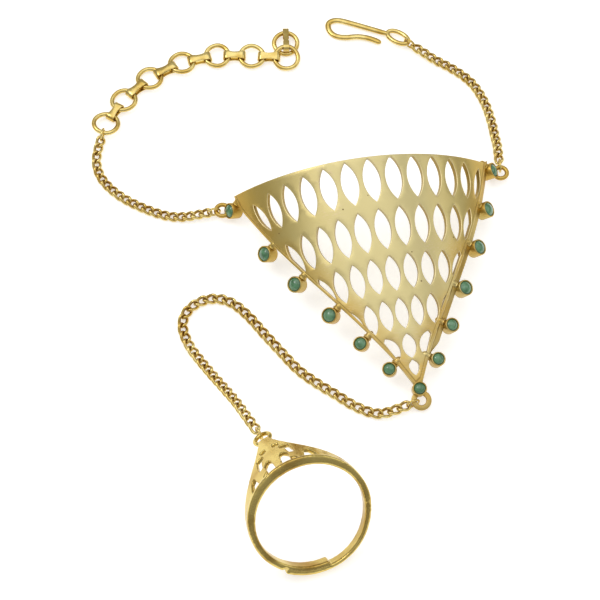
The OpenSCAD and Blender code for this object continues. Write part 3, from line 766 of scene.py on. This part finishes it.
for node, (half_length, half_width, rise) in link_shapes.items():
    links = []
    turns = np.linspace(0, 2 * math.pi, link_steps, endpoint=False)
    oval = [(half_length * math.cos(t), half_width * math.sin(t), rise * math.sin(2 * t))
            for t in turns]
    for part in loose_parts(node):
        links.append(wire_loop(oval, link_wire, own_axes(part), link_sides))
    chain = piece(node + "_links", *joined(links), chain_gold)
    # painted shade on the side of each wire that faces into its link
    section = np.linspace(0, 2 * math.pi, link_sides, endpoint=False)
    shade_layer = chain.data.attributes.new("inner_side", "FLOAT", "POINT")
    shade_layer.data.foreach_set("value", np.clip(np.tile(-np.cos(section), len(links) * link_steps), 0, 1)
                           .astype(np.float32))
    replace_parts(chain, node)

# End links and extender. Plain round links of drawn wire; the extender's rings are a little
# out of round from being closed and soldered by hand.
end_radius = 1
end_wire = 0.18
extender_radius = 1.97
extender_wire = 0.39
end_nodes = ["end_link_left", "end_link_extender", "end_link_right", "end_link_hook",
             "end_link_tip", "end_link_ring"]


def round_link(node, radius, wire, uneven):
    turns = np.linspace(0, 2 * math.pi, 64, endpoint=False)
    phase = sum(map(ord, node)) % 7
    shape = [(radius * (1 + uneven * math.sin(2 * t + phase)) * math.cos(t),
              radius * (1 + uneven * math.sin(3 * t + phase)) * math.sin(t), 0) for t in turns]
    place = own_axes(loose_parts(node)[0])
    made = piece(node + "_wire", *wire_loop(shape, wire, place, 14), chain_gold)
    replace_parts(made, node)


for node in end_nodes:
    round_link(node, end_radius, end_wire, 0.0)
for count in range(1, 9):
    round_link(f"extender_ring_{count}", extender_radius, extender_wire, 0.02)

# Connectors. A strip of sheet bent into a closed loop round the wires of two rings, with a
# waist between them, pressed together by hand so that its edges are soft.
strip_fullness = 0.86


def welded_copy(node, name, material):
    """A copy of the node's own mesh with its corners joined, standing for the node."""
    made = bpy.data.objects.new(name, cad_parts[node].data.copy())
    weld = bmesh.new()
    weld.from_mesh(made.data)
    bmesh.ops.remove_doubles(weld, verts=weld.verts, dist=1e-6)
    bmesh.ops.dissolve_limit(weld, angle_limit=math.radians(1), verts=weld.verts, edges=weld.edges)
    weld.to_mesh(made.data)
    weld.free()
    made.data.materials.clear()
    made.data.materials.append(material)
    made.data.shade_smooth()
    bpy.context.scene.collection.objects.link(made)
    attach(made, "root")
    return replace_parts(made, node)


for count in range(1, 8):
    strip = welded_copy(f"connector_{count}", f"connector_{count}_strip", chain_gold)
    axes = own_axes(loose_parts(f"connector_{count}")[0])
    narrowed = axes @ Matrix.Diagonal((1, strip_fullness, 1, 1)) @ axes.inverted()
    strip.data.transform(narrowed)
    ease = strip.modifiers.new("ease", "BEVEL")
    ease.width = 0.06 * MM
    ease.segments = 2
    ease.angle_limit = math.radians(40)

# Hook. One length of wire, beaten a little flat along the shank, bent back on itself to a
# blunt rounded tip, with an oval eye soldered to its end.
hook_fullness = 0.07 * MM

hook = welded_copy("hook", "hook_wire", chain_gold)
finer = hook.modifiers.new("finer", "SUBSURF")
finer.levels = 1
finer.render_levels = 1
fuller = hook.modifiers.new("fuller", "DISPLACE")
fuller.strength = hook_fullness
fuller.mid_level = 0

# Finger ring. A cast open band with a pierced pointed shield, its edges rounded in the
# casting and the polish, and its outer end sliding over the inner one. It is rubbed brighter
# than the plate, browner in random patches, and browned inside the bore as painted shade.
grain_size = 0.12 * MM
# middle of the ring's near rim, way along the finger, and how far along the rubbing reaches
ring_rim = (1.71, -44.34, 9.15)
finger_way = (-0.273, 0.74, -0.615)
band_width = 2.2
# how far from the bore's axis the painted shade on the inner wall reaches, and how softly it ends
bore_shade_to = 9.15
bore_shade_fade = 0.5

rubbed_brass, where, surface = finish("rubbed_brass")
bright_brass = (0.70, 0.54, 0.17, 1)
brown_brass_and_bore_shade = (0.38, 0.21, 0.03, 1)
patches = where.node("TexNoise", {}, {"Vector": where, "Scale": 0.22, "Detail": 3.0})
scratches = where.node("TexNoise", {}, {"Vector": where, "Scale": 5.0, "Detail": 4.0})
inner_wall = where.node("Attribute", {"attribute_name": "inner_wall"}, output=2)
colour = (0.7 * patches.spread(0.45, 0.7)).between(bright_brass, brown_brass_and_bore_shade)
# the inner wall of the bore is browned as painted shade, broken up by the random patches
colour = (0.8 * inner_wall * patches.spread(0.35, 0.6)).between(colour, brown_brass_and_bore_shade)
lay(surface, "Base Color", colour)
surface.inputs["Metallic"].default_value = 1
lay(surface, "Roughness", 0.1 + 0.14 * scratches)
bump = scratches.node("Bump", {}, {"Strength": 0.15, "Distance": 0.04 * MM, "Height": scratches})
lay(surface, "Normal", bump)

ring = bpy.data.objects.new("finger_ring_casting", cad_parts["finger_ring"].data.copy())
ring.data.materials.clear()
ring.data.materials.append(rubbed_brass)
bpy.context.scene.collection.objects.link(ring)
weld = bmesh.new()
weld.from_mesh(ring.data)
bmesh.ops.remove_doubles(weld, verts=weld.verts, dist=1e-6)
weld.to_mesh(ring.data)
weld.free()
casting = ring.modifiers.new("casting", "REMESH")
casting.mode = "VOXEL"
casting.voxel_size = grain_size
casting.use_smooth_shade = True
cast = bpy.data.meshes.new_from_object(ring.evaluated_get(bpy.context.evaluated_depsgraph_get()))
ring.modifiers.clear()
ring.data = cast
ring.data.shade_smooth()
# the band is rubbed much rounder than the shield
steps = np.empty(3 * len(cast.vertices), np.float32)
cast.vertices.foreach_get("co", steps)
from_rim = steps.reshape(-1, 3) / MM - np.array(ring_rim)
way = np.array(Vector(finger_way).normalized())
along = from_rim @ way
from_axis = np.linalg.norm(from_rim - along[:, None] * way, axis=1)
# the inner wall of the bore, near the finger's axis, is marked for painted shade
shade_layer = cast.attributes.new("inner_wall", "FLOAT", "POINT")
painted_shade = np.clip((bore_shade_to - from_axis) / bore_shade_fade, 0, 1)
shade_layer.data.foreach_set("value", painted_shade.astype(np.float32))
band = ring.vertex_groups.new(name="band")
for at, far in enumerate(along):
    if far < band_width:
        band.add([at], min(1.0, (band_width - far) / 0.5), "REPLACE")
for name, times, group in (("polish", 7, ""), ("rubbed", 45, "band")):
    smooth = ring.modifiers.new(name, "SMOOTH")
    smooth.factor = 0.5
    smooth.iterations = times
    smooth.vertex_group = group
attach(ring, "root")
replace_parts(ring, "finger_ring")
